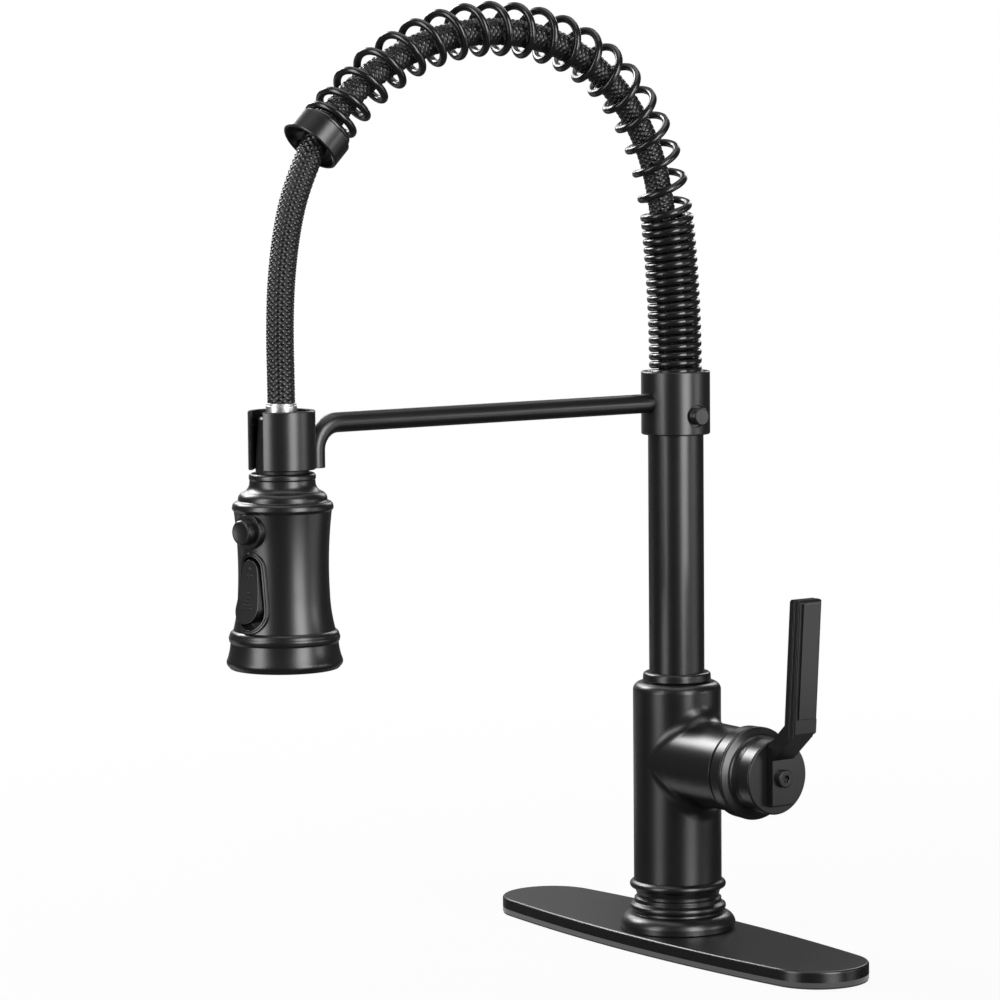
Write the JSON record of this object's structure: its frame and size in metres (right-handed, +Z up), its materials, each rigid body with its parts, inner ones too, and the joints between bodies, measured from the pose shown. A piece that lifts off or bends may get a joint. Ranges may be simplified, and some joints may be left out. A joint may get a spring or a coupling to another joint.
{
  "type": "pull-down kitchen faucet",
  "caption": "Deck-mounted kitchen faucet with a coiled spring neck, a braided hose, a docked two-way spray head and a side lever.",
  "frame": {"origin": "on the axis of the body, in the face of the deck that the deck plate's gasket rests on", "axes": "+Z up along the body and the riser; the arm and the spray head point along -Y, towards the user; the valve and its lever are on the +X side; the deck plate is long along X"},
  "size_m": [0.254, 0.283, 0.5071],
  "materials": {
    "matte_black": "matte black powder coat over brass and steel",
    "black_spring": "satin black coated spring steel wire",
    "black_plastic": "matte black plastic",
    "white_plastic": "natural white plastic of the inner pieces",
    "braid": "black braided nylon sleeve over a hose",
    "rubber": "black rubber",
    "brass": "machined brass",
    "steel": "bright stainless steel",
    "ceramic": "ground ceramic"
  },
  "bodies": {
    "body": {"deck_plate": "matte_black", "deck_gasket": "rubber", "deck_base": "black_plastic", "shank": "brass", "rubber_washer": "rubber", "steel_washer": "steel", "mounting_nut": "brass", "base_flange": "matte_black", "base_seal": "rubber", "valve_body": "matte_black", "body_top_ring": "matte_black", "swivel_bush": "white_plastic", "cartridge_housing": "white_plastic", "cartridge_seat_disc": "ceramic", "cartridge_nut": "brass", "bonnet": "matte_black", "hose_lower": "braid", "hose_connector": "black_plastic"},
    "rotor": {"cartridge_rotor": "white_plastic", "pivot_pin": "steel"},
    "disc": {"cartridge_disc": "ceramic"},
    "lever": {"cartridge_stem": "steel", "handle_hub": "matte_black", "lever_arm": "matte_black", "lever_inlay": "matte_black", "lever_screw": "matte_black"},
    "neck": {"riser_tube": "matte_black", "riser_seals": "rubber", "riser_clip": "white_plastic", "collar": "matte_black", "spring_seat": "black_plastic", "dock_arm": "matte_black", "dock_holder": "matte_black", "dock_liner": "black_plastic", "neck_spring": "black_spring", "spring_end_ring": "matte_black", "hose_in_neck": "braid"},
    "thumb_screw": {"thumb_screw": "matte_black"},
    "hose_end": {"hose_free": "braid", "hose_ferrule": "steel", "hose_nut": "steel"},
    "spray_head": {"dock_boss": "black_plastic", "spray_shell": "matte_black", "spray_core": "black_plastic", "check_valve": "white_plastic", "hose_washer": "rubber", "button_bezel": "matte_black", "button_spring": "steel", "rocker_frame": "matte_black", "rocker_pin": "steel", "spray_lower_ring": "matte_black", "spray_face": "black_plastic", "spray_nozzles": "rubber", "aerator_housing": "black_plastic", "aerator_mesh": "steel"},
    "pause_button": {"pause_button": "matte_black"},
    "rocker": {"rocker": "matte_black"},
    "spool": {"diverter_spool": "white_plastic"}
  },
  "joints": [
    {"name": "handle_turn", "type": "hinge", "parent": "body", "child": "rotor", "pos_m": [0.04, 0, 0.0908], "axis": [1, 0, 0], "range_deg": [-45, 45]},
    {"name": "handle_lift", "type": "hinge", "parent": "rotor", "child": "lever", "pos_m": [0.04, 0, 0.0908], "axis": [0, 1, 0], "range_deg": [0, 20]},
    {"name": "disc_slide", "type": "slide", "parent": "rotor", "child": "disc", "axis": [0, 0, 1], "range_m": [0, 0.0069]},
    {"name": "neck_swivel", "type": "hinge", "parent": "body", "child": "neck", "pos_m": [0, 0, 0.2], "axis": [0, 0, 1], "continuous": true},
    {"name": "collar_screw_turn", "type": "hinge", "parent": "neck", "child": "thumb_screw", "pos_m": [0.018, 0, 0.2568], "axis": [1, 0, 0], "continuous": true},
    {"name": "spray_pull", "type": "slide", "parent": "neck", "child": "hose_end", "axis": [0, 0, -1], "range_m": [0, 0.13], "deforming": ["hose_free"]},
    {"name": "spray_swivel", "type": "hinge", "parent": "hose_end", "child": "spray_head", "pos_m": [0, -0.22406, 0.2], "axis": [0, 0, 1], "continuous": true},
    {"name": "button_press", "type": "slide", "parent": "spray_head", "child": "pause_button", "axis": [-0.2419, 0.9703, 0], "range_m": [0, 0.0025], "stiffness_N_per_m": 800, "springref_m": -0.001},
    {"name": "rocker_tilt", "type": "hinge", "parent": "spray_head", "child": "rocker", "pos_m": [0.00445, -0.24191, 0.1915], "axis": [0.9703, 0.2419, 0], "range_deg": [0, 9]},
    {"name": "spool_slide", "type": "slide", "parent": "spray_head", "child": "spool", "axis": [0, 0, 1], "range_m": [0, 0.002]}
  ],
  "couplings": [
    {"joint": "disc_slide", "follows": "handle_lift", "m_per_rad": 0.019596},
    {"joint": "spool_slide", "follows": "rocker_tilt", "m_per_rad": 0.012}
  ]
}
